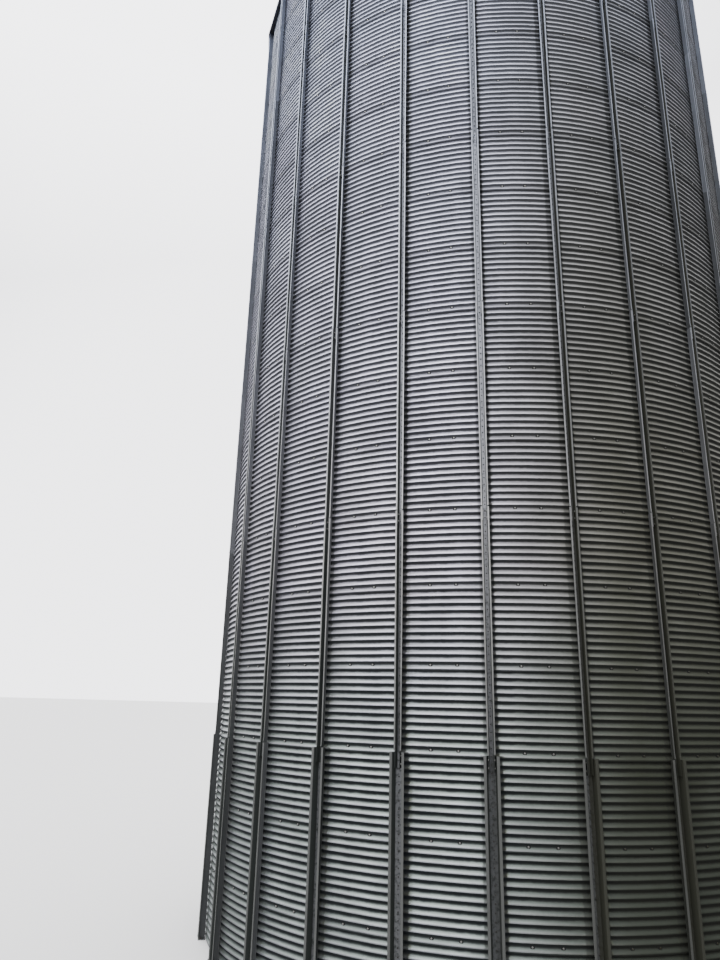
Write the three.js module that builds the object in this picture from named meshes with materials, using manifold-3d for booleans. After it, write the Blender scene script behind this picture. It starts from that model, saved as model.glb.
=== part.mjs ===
// A round grain silo of corrugated galvanised sheet, with upright channel stiffeners on the outside, a
// conical ribbed roof and a flat floor. Millimetres, +Z up, origin at the middle of its foot on the ground.
// A stiffener stands exactly at the front, on -Y.
import * as THREE from 'three';
import { mergeVertices } from 'three/addons/utils/BufferGeometryUtils.js';
import Module from 'manifold-3d';

// Driving dimensions
const WAVE_PITCH = 76;
const WAVE_DEPTH = 18;
const WAVES_PER_RING = 11;
const RINGS = 18;
const BAYS = 27;
const BAYS_PER_PANEL = 3;
const PANEL_ARC = 2800;
const FACETS_PER_BAY = 4;
const GAP = 0.3;

// The lowest stiffener section is three rings high and holds the narrower one above it between its sides.
const HEAVY_RINGS = 3;
const LAP_WAVES = 2;
const HEAVY = { width: 156, web: 76, lip: 25, depth: 86, sheet: 5 };
const STANDARD = { width: 84, web: 44, lip: 14, depth: 66, sheet: 4 };
const STIFFENER_TOP_BELOW_WALL = 48;
const FOOT_PLATE = { width: 200, depth: 90, height: 12 };

const ROOF_SLOPE = THREE.MathUtils.degToRad(28);
const ROOF_SHEET = 10;
const ROOF_SECTORS = 3;
const EAVE_OVERHANG = 100;
const DRIP_EDGE = { height: 30, sheet: 8 };
const RIB = { width: 50, height: 45, sunk: 4, short: 40 };

const COLLAR = { inner: 380, outer: 400, above: 170, below: 40 };
const CAP = { play: 4, sheet: 6, skirt: 50, edge: 4, rise: 80 };
const CENTRE_FACETS = 54;

const FLOOR_THICKNESS = 100;

// Sizes that follow from them
const RING_HEIGHT = WAVE_PITCH * WAVES_PER_RING;
const WALL_HEIGHT = RING_HEIGHT * RINGS;
const BAY_ANGLE = (2 * Math.PI) / BAYS;
const BAY_ARC = PANEL_ARC / BAYS_PER_PANEL;
const WALL_RADIUS = (BAY_ARC * BAYS) / (2 * Math.PI);
const WALL_INNER = WALL_RADIUS - WAVE_DEPTH / 2;
const WALL_OUTER = WALL_RADIUS + WAVE_DEPTH / 2;
const FACETS = BAYS * FACETS_PER_BAY;
const EAVE_RADIUS = WALL_RADIUS + EAVE_OVERHANG;
const ROOF_HOLE = COLLAR.outer + GAP;
const FRONT = -Math.PI / 2;

// Galvanised steel is left on the wall as it weathers, greyer on the thicker stiffeners.
const SHEET_STEEL = new THREE.MeshStandardMaterial({ color: 0xb4b7bd, roughness: 0.5, metalness: 0.85 });
const STIFFENER_STEEL = new THREE.MeshStandardMaterial({ color: 0x7b8085, roughness: 0.6, metalness: 0.8 });
const ROOF_STEEL = new THREE.MeshStandardMaterial({ color: 0xa5a8ab, roughness: 0.55, metalness: 0.85 });
const CONCRETE = new THREE.MeshStandardMaterial({ color: 0x9c9a94, roughness: 0.95, metalness: 0 });

const wasm = await Module();
wasm.setup();

function toSolid(geometry) {
  const bare = geometry.clone();
  bare.deleteAttribute('normal');
  bare.deleteAttribute('uv');
  const merged = mergeVertices(bare);
  const vertProperties = new Float32Array(merged.attributes.position.array);
  const triVerts = new Uint32Array(merged.index.array);
  return new wasm.Manifold(new wasm.Mesh({ numProp: 3, vertProperties, triVerts }));
}

function toGeometry(solid) {
  const mesh = solid.getMesh();
  const geometry = new THREE.BufferGeometry();
  geometry.setAttribute('position', new THREE.BufferAttribute(new Float32Array(mesh.vertProperties), 3));
  geometry.setIndex(new THREE.BufferAttribute(new Uint32Array(mesh.triVerts), 1));
  geometry.computeVertexNormals();
  return geometry;
}

function named(name, geometry, material) {
  const mesh = new THREE.Mesh(geometry, material);
  mesh.name = name;
  return mesh;
}

function onCircle(radius, angle) {
  return new THREE.Vector2(radius * Math.cos(angle), radius * Math.sin(angle));
}

function extruded(outline, height) {
  return new THREE.ExtrudeGeometry(new THREE.Shape(outline), { depth: height, bevelEnabled: false });
}

// A profile of [radius, height] points turned about the Z axis.
function turned(profile, facets) {
  const points = profile.map(([radius, height]) => new THREE.Vector2(radius, height));
  return new THREE.LatheGeometry(points, facets).rotateX(Math.PI / 2);
}

// One column of curved sheet, from stiffener line to stiffener line, as deep as its corrugations.
function wallPanel(firstBay) {
  const facets = BAYS_PER_PANEL * FACETS_PER_BAY;
  const start = FRONT + firstBay * BAY_ANGLE + GAP / 2 / WALL_RADIUS;
  const span = BAYS_PER_PANEL * BAY_ANGLE - GAP / WALL_RADIUS;
  const outside = [];
  const inside = [];
  for (let i = 0; i <= facets; i++) {
    const angle = start + (span * i) / facets;
    outside.push(onCircle(WALL_OUTER, angle));
    inside.unshift(onCircle(WALL_INNER, angle));
  }
  return extruded([...outside, ...inside], WALL_HEIGHT);
}

// An open channel: its web lies on the wall, its sides lean apart and its lips turn outwards.
// Drawn with x across and y away from the wall.
function channelOutline({ width, web, lip, depth, sheet }) {
  const halfWidth = width / 2;
  const halfWeb = web / 2;
  const lean = (halfWidth - lip - halfWeb) / (depth - sheet);
  const sideThickness = sheet * Math.hypot(1, lean);
  const rightBack = [
    [halfWeb, 0],
    [halfWidth - lip, depth - sheet],
    [halfWidth, depth - sheet],
  ];
  const rightFront = [
    [halfWidth, depth],
    [halfWeb + lean * depth - sideThickness, depth],
    [halfWeb + lean * sheet - sideThickness, sheet],
  ];
  const right = [...rightBack, ...rightFront];
  const left = right.map(([x, y]) => [-x, y]).reverse();
  return [...right, ...left].map(([x, y]) => new THREE.Vector2(x, y));
}

// Stands on the ground at the origin, with the wall behind it on its -Y side.
function stiffener() {
  const heavyTop = HEAVY_RINGS * RING_HEIGHT;
  const standardFoot = heavyTop - LAP_WAVES * WAVE_PITCH;
  const top = WALL_HEIGHT - STIFFENER_TOP_BELOW_WALL;
  const heavy = extruded(channelOutline(HEAVY), heavyTop);
  const standard = extruded(channelOutline(STANDARD), top - standardFoot).translate(0, 0, standardFoot);
  const plate = new THREE.BoxGeometry(FOOT_PLATE.width, FOOT_PLATE.depth, FOOT_PLATE.height);
  plate.translate(0, FOOT_PLATE.depth / 2, FOOT_PLATE.height / 2);
  return toGeometry(toSolid(heavy).add(toSolid(standard)).add(toSolid(plate)));
}

// Height of the roof's underside, which rests on the outer edge of the wall.
function roofUnderside(radius) {
  return WALL_HEIGHT + GAP + (WALL_OUTER - radius) * Math.tan(ROOF_SLOPE);
}

function roofTop(radius) {
  return roofUnderside(radius) + ROOF_SHEET / Math.cos(ROOF_SLOPE);
}

function roofCone() {
  const lipRadius = EAVE_RADIUS - DRIP_EDGE.sheet;
  const lipFoot = roofUnderside(EAVE_RADIUS) - DRIP_EDGE.height;
  return turned([
    [ROOF_HOLE, roofUnderside(ROOF_HOLE)],
    [lipRadius, roofUnderside(lipRadius)],
    [lipRadius, lipFoot],
    [EAVE_RADIUS, lipFoot],
    [EAVE_RADIUS, roofTop(EAVE_RADIUS)],
    [ROOF_HOLE, roofTop(ROOF_HOLE)],
    [ROOF_HOLE, roofUnderside(ROOF_HOLE)],
  ], FACETS);
}

// A rib lies down the slope on the joint between two roof sheets.
function roofRib(angle) {
  const outer = EAVE_RADIUS - RIB.short;
  const inner = ROOF_HOLE + RIB.short;
  const middle = (outer + inner) / 2;
  const length = (outer - inner) / Math.cos(ROOF_SLOPE);
  const rib = new THREE.BoxGeometry(length, RIB.width, RIB.height + RIB.sunk);
  rib.translate(0, 0, (RIB.height - RIB.sunk) / 2);
  rib.rotateY(ROOF_SLOPE);
  rib.translate(middle, 0, roofTop(middle));
  rib.rotateZ(angle);
  return rib;
}

// The ground plan of a sector, cut just clockwise of a rib so that each rib is whole.
function sectorPlan(startAngle) {
  const beside = RIB.width / 2 + 2 * RIB.sunk;
  const nearCentre = COLLAR.inner / 4;
  const beyondEave = 2 * EAVE_RADIUS;
  const span = (2 * Math.PI) / ROOF_SECTORS;
  const along = (angle, distance, shift) => onCircle(distance, angle).add(onCircle(shift, angle - Math.PI / 2));
  const endAngle = startAngle + span;
  return [
    along(startAngle, nearCentre, beside),
    along(startAngle, beyondEave, beside),
    onCircle(beyondEave, startAngle + span / 2),
    along(endAngle, beyondEave, beside + GAP),
    along(endAngle, nearCentre, beside + GAP),
  ];
}

function roofSectors() {
  let roof = toSolid(roofCone());
  for (let i = 0; i < BAYS; i++) {
    roof = roof.add(toSolid(roofRib(FRONT + i * BAY_ANGLE)));
  }
  const above = roofTop(0);
  const sectors = [];
  for (let i = 0; i < ROOF_SECTORS; i++) {
    const plan = sectorPlan(FRONT + (i * 2 * Math.PI) / ROOF_SECTORS);
    sectors.push(toGeometry(roof.intersect(toSolid(extruded(plan, above)))));
  }
  return sectors;
}

function collar() {
  const foot = roofUnderside(COLLAR.outer) - COLLAR.below;
  const head = roofTop(COLLAR.outer) + COLLAR.above;
  return turned([
    [COLLAR.inner, foot],
    [COLLAR.outer, foot],
    [COLLAR.outer, head],
    [COLLAR.inner, head],
    [COLLAR.inner, foot],
  ], CENTRE_FACETS);
}

// A shallow conical lid that rests on the collar and reaches down around it.
function cap() {
  const seat = roofTop(COLLAR.outer) + COLLAR.above + GAP;
  const skirtInner = COLLAR.outer + CAP.play;
  const skirtOuter = skirtInner + CAP.sheet;
  return turned([
    [0, seat],
    [skirtInner, seat],
    [skirtInner, seat - CAP.skirt],
    [skirtOuter, seat - CAP.skirt],
    [skirtOuter, seat + CAP.edge],
    [0, seat + CAP.rise],
  ], CENTRE_FACETS);
}

function floor() {
  const radius = WALL_INNER - GAP;
  const slab = new THREE.CylinderGeometry(radius, radius, FLOOR_THICKNESS, FACETS);
  return slab.rotateX(Math.PI / 2).translate(0, 0, FLOOR_THICKNESS / 2);
}

const silo = new THREE.Group();

for (let i = 0; i < BAYS / BAYS_PER_PANEL; i++) {
  silo.add(named(`wall_panel_${i + 1}`, wallPanel(i * BAYS_PER_PANEL), SHEET_STEEL));
}

const stiffenerGeometry = stiffener();
for (let i = 0; i < BAYS; i++) {
  const number = String(i + 1).padStart(2, '0');
  const upright = named(`stiffener_${number}`, stiffenerGeometry, STIFFENER_STEEL);
  const angle = FRONT + i * BAY_ANGLE;
  const seat = onCircle(WALL_OUTER + GAP, angle);
  upright.position.set(seat.x, seat.y, 0);
  upright.rotation.z = angle - Math.PI / 2;
  silo.add(upright);
}

roofSectors().forEach((geometry, i) => silo.add(named(`roof_sector_${i + 1}`, geometry, ROOF_STEEL)));
silo.add(named('roof_collar', collar(), ROOF_STEEL));
silo.add(named('roof_cap', cap(), ROOF_STEEL));
silo.add(named('floor', floor(), CONCRETE));

export default silo;
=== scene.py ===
"""The finish and the fine shapes of a round galvanised grain silo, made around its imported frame.

Metres, +Z up, with the silo's axis on Z and one stiffener exactly at the front, on -Y.
Round the wall, angles grow counterclockwise from the front, so from -Y towards +X.
"""

import math
from types import SimpleNamespace

import bpy
import numpy as np
from mathutils import Matrix, Vector


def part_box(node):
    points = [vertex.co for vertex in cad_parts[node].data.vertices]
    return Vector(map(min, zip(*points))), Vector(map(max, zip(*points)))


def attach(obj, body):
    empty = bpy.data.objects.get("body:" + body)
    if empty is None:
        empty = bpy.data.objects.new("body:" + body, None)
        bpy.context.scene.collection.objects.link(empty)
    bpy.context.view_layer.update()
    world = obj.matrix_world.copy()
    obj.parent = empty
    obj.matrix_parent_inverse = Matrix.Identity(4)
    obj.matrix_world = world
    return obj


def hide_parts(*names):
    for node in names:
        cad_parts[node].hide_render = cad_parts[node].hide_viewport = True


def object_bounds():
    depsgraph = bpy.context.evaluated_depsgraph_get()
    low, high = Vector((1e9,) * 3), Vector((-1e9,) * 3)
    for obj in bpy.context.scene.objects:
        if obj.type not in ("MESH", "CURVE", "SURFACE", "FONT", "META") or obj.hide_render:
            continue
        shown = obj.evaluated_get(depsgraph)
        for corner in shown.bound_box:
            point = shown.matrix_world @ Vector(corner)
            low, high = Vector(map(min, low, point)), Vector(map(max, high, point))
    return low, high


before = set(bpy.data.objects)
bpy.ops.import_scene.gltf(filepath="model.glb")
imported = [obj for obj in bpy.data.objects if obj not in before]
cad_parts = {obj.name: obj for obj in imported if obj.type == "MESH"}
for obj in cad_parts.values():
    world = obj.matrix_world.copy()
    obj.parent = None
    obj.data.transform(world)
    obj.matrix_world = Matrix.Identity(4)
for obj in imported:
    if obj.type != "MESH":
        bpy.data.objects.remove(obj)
CAD_LOW, CAD_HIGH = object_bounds()

MM = 0.001

# Wall sheets: 76 mm waves, 18 mm deep, eleven to a ring. The real sheet is 1.2 to 2 mm thick.
WAVE_PITCH = 76 * MM
WAVE_DEPTH = 18 * MM
WAVES_PER_RING = 11
SHEET = 2.5 * MM
CLEARANCE = 0.3 * MM
SAMPLES_PER_WAVE = 8
LOWER_RIM = [(1.5 * MM, 8 * MM), (6 * MM, 18 * MM)]  # how far back and down from the crest
LIFT_ENDS = 1.25  # waves above the seam, where the lapped sheet is back on its own line
COLUMNS_PER_BAY = 4
SEAM_BOLT_SPREAD = 0.151  # of a bay, each side of its middle

# Stiffener channels: a wide one three rings high at the foot, then narrower ones, each three rings high.
RINGS_PER_CHANNEL = 3
LAP_WAVES = 2
HEAVY = {"width": 156 * MM, "web": 76 * MM, "lip": 25 * MM, "depth": 86 * MM, "sheet": 5 * MM}
STANDARD = {"width": 84 * MM, "web": 44 * MM, "lip": 14 * MM, "depth": 66 * MM, "sheet": 4 * MM}
CHANNEL_TOP_BELOW_WALL = 48 * MM
BEND_RADIUS = 5 * MM
BEND_STEPS = 2
NEST_SHARE = 0.05  # a channel is narrower at its foot and wider at its head by this share, to nest
JOGGLE = 60 * MM  # above the head of the channel below, where the next one is back on the wall
LIP_GAP = 14 * MM  # from the head of the channel below up to where the lips start again
HEAVY_HEAD_BELOW_SEAM = 30 * MM
FOOT_PLATE = {"width": 200 * MM, "depth": 90 * MM, "height": 12 * MM, "edge": 2 * MM}
ANCHOR_FROM_END, ANCHOR_FROM_FRONT = 22 * MM, 30 * MM

# Roof. A rib ends short of the eave and of the collar, and narrows towards the collar.
ROOF_SLOPE = math.radians(28)
ROOF_SHEET = 10 * MM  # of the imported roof, whose upper face the drawn sheets follow
EAVE_BEND = 6 * MM
NOSE_BACK, NOSE_DOWN = 1.5 * MM, 2 * MM  # of the middle of that bend, from its sharp corner
DRIP_EDGE = 30 * MM
RIB = {"width": 50 * MM, "top": 24 * MM, "height": 45 * MM, "flange": 22 * MM, "short": 40 * MM}
RIB_NARROWED, RIB_TAPER = 0.62, 0.9  # share of its width at the collar, and metres down to its full width
PLUG_BACK, PLUG_FRONT = 6 * MM, 3 * MM  # from the rib's lower end, which the plug closes
RIB_BOLT_PITCH = 420 * MM
RIB_BOLTS_END = 1.0  # metres from the collar

# Collar and lid. The steps of the lid are how far in from its edge and how far up.
ROUND_FACETS = 96
COLLAR_SHEET = 6 * MM
COLLAR_EDGE = 2 * MM
APRON = {"reach": 70 * MM, "lift": 1 * MM, "upstand": 25 * MM}
LID_SHEET = 3 * MM
LID_MIDWAY = 0.5, 0.53  # share of its radius, and of its height above the collar
LID_SHOULDER = [(12 * MM, 9 * MM), (3 * MM, 5 * MM), (0, 0)]  # up from the collar
LID_SKIRT = [(0, 4 * MM), (2 * MM, 0), (5 * MM, 0)]  # up from its lower edge
LID_INSIDE = 5 * MM, 1 * MM  # up from the collar
AXIS_HOLE = 1 * MM  # radius left open at the middle of the lid and the floor

FLOOR_CHAMFER = 8 * MM

# Bolt heads, nuts and washers, as (width, height, chamfer)
HEXAGON = 6
SEAM_BOLT, SEAM_WASHER = (19 * MM, 11 * MM, 1.5 * MM), (42 * MM, 3 * MM, 0.5 * MM)
WEB_BOLT, LAP_BOLT = (14 * MM, 7 * MM, 1 * MM), (17 * MM, 9 * MM, 1.5 * MM)
ANCHOR_NUT, ANCHOR_WASHER = (24 * MM, 16 * MM, 1.5 * MM), (40 * MM, 4 * MM, 1 * MM)
ROOF_BOLT, ROOF_WASHER = (12 * MM, 7 * MM, 1 * MM), (22 * MM, 2 * MM, 0.5 * MM)

# Edges that bend more than this stay sharp
SHARP_ANGLE = math.radians(38)
ROOF_SHARP_ANGLE = math.radians(5)

names = sorted(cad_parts)
PANELS = [n for n in names if n.startswith("wall_panel_")]
STIFFENERS = [n for n in names if n.startswith("stiffener_")]
SECTORS = [n for n in names if n.startswith("roof_sector_")]

BAYS = len(STIFFENERS)
BAY_ANGLE = 2 * math.pi / BAYS
BAYS_PER_PANEL = BAYS // len(PANELS)
BAYS_PER_SECTOR = BAYS // len(SECTORS)
FRONT = -math.pi / 2

WALL_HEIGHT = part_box(PANELS[0])[1].z
WALL_OUTSIDE = -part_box(PANELS[0])[0].y
RING_HEIGHT = WAVE_PITCH * WAVES_PER_RING
RINGS = round(WALL_HEIGHT / RING_HEIGHT)
MEAN_RADIUS = WALL_OUTSIDE - WAVE_DEPTH / 2 - SHEET - CLEARANCE
BAY_ARC = BAY_ANGLE * WALL_OUTSIDE
CHANNEL_SEAT = WALL_OUTSIDE + CLEARANCE
CHANNEL_RISE = RINGS_PER_CHANNEL * RING_HEIGHT
HEAVY_HEAD = CHANNEL_RISE - HEAVY_HEAD_BELOW_SEAM
EAVE_RADIUS = CAD_HIGH.x


def polar(radius, angle, height):
    """A point at an angle round the wall from the front."""
    return np.array([radius * math.cos(FRONT + angle), radius * math.sin(FRONT + angle), height])


# Meshes

def lofted(outlines, cap_faces=None, ring=False):
    """Closed outlines of equal length, joined one to the next, with all faces turned outwards.
    cap_faces close both ends, or the last outline joins the first in a ring."""
    count, size = len(outlines), len(outlines[0])
    points = np.asarray(outlines, float).reshape(-1, 3)
    faces = []
    for i in range(count if ring else count - 1):
        here, there = i * size, ((i + 1) % count) * size
        for j in range(size):
            after = (j + 1) % size
            faces.append((here + j, there + j, there + after, here + after))
    if not ring:
        last = (count - 1) * size
        faces += [tuple(face) for face in cap_faces]
        faces += [tuple(last + j for j in reversed(face)) for face in cap_faces]

    middle = points[:size].mean(axis=0)
    spokes = points[:size] - middle
    area = np.cross(spokes, np.roll(spokes, -1, axis=0)).sum(axis=0)
    towards_next = points[size:2 * size].mean(axis=0) - middle
    if area @ towards_next > 0:
        faces = [face[::-1] for face in faces]
    return points, faces


def joined(parts):
    """One (points, faces) from several."""
    points, faces, start = [], [], 0
    for part_points, part_faces in parts:
        points.append(part_points)
        faces += [tuple(start + j for j in face) for face in part_faces]
        start += len(part_points)
    return np.concatenate(points), faces


def add_piece(name, parts, materials, replaced=(), sharp_angle=SHARP_ANGLE):
    """A piece of the silo. parts is one list of (points, faces) for each material."""
    mesh = bpy.data.meshes.new(name)
    groups = [joined(group) for group in parts]
    points, faces = joined(groups)
    mesh.from_pydata(points.tolist(), [], faces)
    material_index = np.repeat(np.arange(len(groups)), [len(group[1]) for group in groups])
    mesh.polygons.foreach_set("material_index", material_index.astype(np.int32))
    for material in materials:
        mesh.materials.append(material)
    mesh.shade_smooth()
    mesh.set_sharp_from_angle(angle=sharp_angle)
    piece = bpy.data.objects.new(name, mesh)
    bpy.context.scene.collection.objects.link(piece)
    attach(piece, "root")
    if replaced:
        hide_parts(*replaced)
    return piece


def disc(width, height, chamfer, sides):
    """A bolt head or a washer, standing on z = 0, with a chamfer round its top."""
    turns = [2 * math.pi * i / sides for i in range(sides)]
    levels = [(width / 2, 0), (width / 2, height - chamfer), (width / 2 - chamfer, height)]
    outlines = [[(r * math.cos(t), r * math.sin(t), z) for t in turns] for r, z in levels]
    return lofted(outlines, [tuple(range(sides))])


def scattered(shape, places):
    """Copies of a shape, one at each (origin, outward direction)."""
    points, faces = shape
    copies = []
    for origin, outward in places:
        out = Vector(outward).normalized()
        turn = np.array(out.to_track_quat("Z", "Y").to_matrix())
        copies.append((points @ turn.T + np.asarray(origin), faces))
    return copies


# Wall

def sheet_profile(ring):
    """Outer face of one ring's sheet, from its lower edge up, as (radius, height). Rings meet in a valley,
    where the upper sheet is bolted outside the lower one and ends a little below the next crest."""
    foot = ring * RING_HEIGHT
    step = WAVE_PITCH / SAMPLES_PER_WAVE
    below = SAMPLES_PER_WAVE // 2 if ring else 0
    heights = [i * step for i in range(-below, WAVES_PER_RING * SAMPLES_PER_WAVE + 1)]
    profile = []
    for height in heights:
        wave = -math.cos(2 * math.pi * height / WAVE_PITCH)
        lapped = np.clip(LIFT_ENDS - height / WAVE_PITCH, 0, 1)
        lift = lapped * (SHEET + CLEARANCE)
        profile.append((MEAN_RADIUS + wave * WAVE_DEPTH / 2 + lift, foot + height))
    if ring:
        radius, height = profile[0]
        rim = [(radius - back, height - down) for back, down in LOWER_RIM]
        profile = rim[::-1] + profile
    return profile


def wall_sheet(ring, first_bay):
    """One sheet, three bays wide. Its hidden inner face has half as many rows as the outer one."""
    outer = sheet_profile(ring)
    inner = [(radius - SHEET, height) for radius, height in outer[::2]]
    outline = outer + inner[::-1]
    size = len(outline)
    caps = []
    for i in range(len(inner) - 1):
        caps.append((2 * i, 2 * i + 1, 2 * i + 2, size - 2 - i, size - 1 - i))
    gap = CLEARANCE / 2 / WALL_OUTSIDE
    columns = BAYS_PER_PANEL * COLUMNS_PER_BAY
    angles = np.linspace(gap, BAYS_PER_PANEL * BAY_ANGLE - gap, columns + 1) + first_bay * BAY_ANGLE
    return lofted([[polar(r, angle, z) for r, z in outline] for angle in angles], caps)


def seam_bolt_places(first_bay):
    places = []
    for ring in range(1, RINGS):
        height = ring * RING_HEIGHT
        radius = MEAN_RADIUS - WAVE_DEPTH / 2 + SHEET + CLEARANCE
        for bay in range(BAYS_PER_PANEL):
            for side in (-1, 1):
                angle = (first_bay + bay + 0.5 + side * SEAM_BOLT_SPREAD) * BAY_ANGLE
                places.append((polar(radius, angle, height), polar(1, angle, 0)))
    return places


def build_wall(sheet_steel, bolt_steel, washer_rubber):
    head = disc(*SEAM_BOLT, sides=HEXAGON)
    washer = disc(*SEAM_WASHER, sides=10)
    for i, node in enumerate(PANELS):
        first_bay = i * BAYS_PER_PANEL
        sheets = [wall_sheet(ring, first_bay) for ring in range(RINGS)]
        add_piece(f"wall_sheets_{i + 1}", [sheets], [sheet_steel], [node])
        places = seam_bolt_places(first_bay)
        parts = [scattered(head, places), scattered(washer, places)]
        add_piece(f"seam_bolts_{i + 1}", parts, [bolt_steel, washer_rubber])


# Stiffeners

def folded_strip(corners, thickness, radius):
    """Outline of a strip of sheet folded along corners, with round bends, and the faces that close its ends.
    Drawn with x across and y away from the wall."""
    line = [np.array(corners[0])]
    for before, corner, after in zip(corners, corners[1:], corners[2:]):
        before, corner, after = (np.array(p) for p in (before, corner, after))
        towards_before = (before - corner) / np.linalg.norm(before - corner)
        towards_after = (after - corner) / np.linalg.norm(after - corner)
        start, end = corner + towards_before * radius, corner + towards_after * radius
        for i in range(BEND_STEPS + 1):
            t = i / BEND_STEPS
            line.append((1 - t) ** 2 * start + 2 * t * (1 - t) * corner + t ** 2 * end)
    line.append(np.array(corners[-1]))
    line = np.array(line)
    along = np.gradient(line, axis=0)
    along /= np.linalg.norm(along, axis=1)[:, None]
    aside = np.stack([-along[:, 1], along[:, 0]], axis=1) * thickness / 2
    outline = np.concatenate([line + aside, (line - aside)[::-1]])
    size = len(outline)
    caps = [(i, i + 1, size - 2 - i, size - 1 - i) for i in range(len(line) - 1)]
    return outline, caps


def channel_strip(size, lips):
    """An open channel: its web lies on the wall, its sides lean apart, and its lips, if any, turn out."""
    middle = size["sheet"] / 2
    half_web, half_width = size["web"] / 2, size["width"] / 2
    half_mouth = half_width - size["lip"]
    front = size["depth"] - middle
    corners = [(-half_mouth, front), (-half_web, middle), (half_web, middle), (half_mouth, front)]
    if lips:
        corners = [(-half_width, front), *corners, (half_width, front)]
    return folded_strip(corners, size["sheet"], BEND_RADIUS)


def on_stiffener(number, across, away, height):
    """The place of a point of a stiffener that is drawn with x across and y away from the wall."""
    angle = number * BAY_ANGLE
    outward, sideways = polar(1, angle, 0), polar(1, angle + math.pi / 2, 0)
    return outward * (CHANNEL_SEAT + away) + sideways * across + np.array([0, 0, height])


def channel(number, size, stations, lips=True):
    """A channel along stations of (height, distance from the wall, share of its full width)."""
    outline, caps = channel_strip(size, lips)
    outlines = []
    for height, away, share in stations:
        outlines.append([on_stiffener(number, x * share, y + away, height) for x, y in outline])
    return lofted(outlines, caps)


def laps():
    """The heads that the narrower channels stand in, from the lowest up, as (height, thickness of the sheet
    there)."""
    seams = [ring * RING_HEIGHT for ring in range(RINGS_PER_CHANNEL, RINGS, RINGS_PER_CHANNEL)]
    return [(HEAVY_HEAD, HEAVY["sheet"])] + [(seam, STANDARD["sheet"]) for seam in seams[1:]]


def narrow_channels(number):
    """The narrower channels of a stiffener. The foot of each lies inside the head of the one below, without
    lips."""
    nested = 1 - NEST_SHARE
    tops = [seam for seam, under in laps()[1:]] + [WALL_HEIGHT - CHANNEL_TOP_BELOW_WALL]
    parts = []
    for (seam, under), top in zip(laps(), tops):
        lips_start = seam + LIP_GAP
        foot = [(seam - LAP_WAVES * WAVE_PITCH, under, nested), (lips_start - CLEARANCE, under, nested)]
        rest = [(lips_start, under, nested), (seam + JOGGLE, 0, nested), (top, 0, 1 + NEST_SHARE)]
        parts += [channel(number, STANDARD, foot, lips=False), channel(number, STANDARD, rest)]
    return parts


def web_front(height):
    """Distance from the wall to the front of the web at a height."""
    for seam, under in laps():
        if seam - LAP_WAVES * WAVE_PITCH < height < seam + JOGGLE / 2:
            return under + STANDARD["sheet"]
    return HEAVY["sheet"] if height < HEAVY_HEAD else STANDARD["sheet"]


def web_bolt_places(number):
    """One bolt at each crest of the wall."""
    outward = polar(1, number * BAY_ANGLE, 0)
    top = WALL_HEIGHT - CHANNEL_TOP_BELOW_WALL
    places = []
    height = WAVE_PITCH / 2
    while height < top:
        places.append((on_stiffener(number, 0, web_front(height), height), outward))
        height += WAVE_PITCH
    return places


def lap_bolt_places(number):
    """Two bolts in each side of every lap. Their heads lie outside the narrower channel in the wide head, and
    inside it where the channels nest closely."""
    half_web, half_mouth = STANDARD["web"] / 2, STANDARD["width"] / 2 - STANDARD["lip"]
    run, rise = half_mouth - half_web, STANDARD["depth"] - STANDARD["sheet"]
    slant = math.hypot(run, rise)
    inwards, outwards = rise / slant, run / slant
    half_sheet = STANDARD["sheet"] / 2
    places = []
    for seam, under in laps():
        inside = 1 if seam > HEAVY_HEAD else -1
        across = (half_web + half_mouth) / 2 * (1 - NEST_SHARE) - inside * inwards * half_sheet
        away = under + STANDARD["depth"] / 2 + inside * outwards * half_sheet
        for wave in range(LAP_WAVES):
            height = seam - (wave + 0.5) * WAVE_PITCH
            for side in (-1, 1):
                middle = on_stiffener(number, 0, 0, height)
                tip = on_stiffener(number, -side * inside * inwards, inside * outwards, height)
                places.append((on_stiffener(number, side * across, away, height), tip - middle))
    return places


def foot_plate(number):
    half, depth = FOOT_PLATE["width"] / 2, FOOT_PLATE["depth"]
    height, edge = FOOT_PLATE["height"], FOOT_PLATE["edge"]
    levels = [(0, 0), (height - edge, 0), (height, edge)]
    outlines = []
    for level, inset in levels:
        left, right, back, front = -half + inset, half - inset, inset, depth - inset
        corners = [(left, back), (right, back), (right, front), (left, front)]
        outlines.append([on_stiffener(number, x, y, level) for x, y in corners])
    return lofted(outlines, [(0, 1, 2, 3)])


def anchor_places(number):
    spread = FOOT_PLATE["width"] / 2 - ANCHOR_FROM_END
    away = FOOT_PLATE["depth"] - ANCHOR_FROM_FRONT
    height = FOOT_PLATE["height"]
    return [(on_stiffener(number, side * spread, away, height), (0, 0, 1)) for side in (-1, 1)]


def build_stiffeners(channel_steel, web_bolt_steel, lap_bolt_steel):
    web_bolt = disc(*WEB_BOLT, sides=HEXAGON)
    lap_bolt = disc(*LAP_BOLT, sides=HEXAGON)
    anchor = joined([disc(*ANCHOR_NUT, sides=HEXAGON), disc(*ANCHOR_WASHER, sides=12)])
    materials = [channel_steel, web_bolt_steel, lap_bolt_steel]
    for number, node in enumerate(STIFFENERS):
        steel = [channel(number, HEAVY, [(FOOT_PLATE["height"], 0, 1), (HEAVY_HEAD, 0, 1)])]
        steel += narrow_channels(number) + [foot_plate(number)]
        bolts = scattered(web_bolt, web_bolt_places(number)) + scattered(anchor, anchor_places(number))
        parts = [steel, bolts, scattered(lap_bolt, lap_bolt_places(number))]
        add_piece(f"channel_{number + 1:02d}", parts, materials, [node])


# Roof

def roof_top(radius):
    """Height of the roof's upper face."""
    underside = WALL_HEIGHT + CLEARANCE + (WALL_OUTSIDE - radius) * math.tan(ROOF_SLOPE)
    return underside + ROOF_SHEET / math.cos(ROOF_SLOPE)


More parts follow.
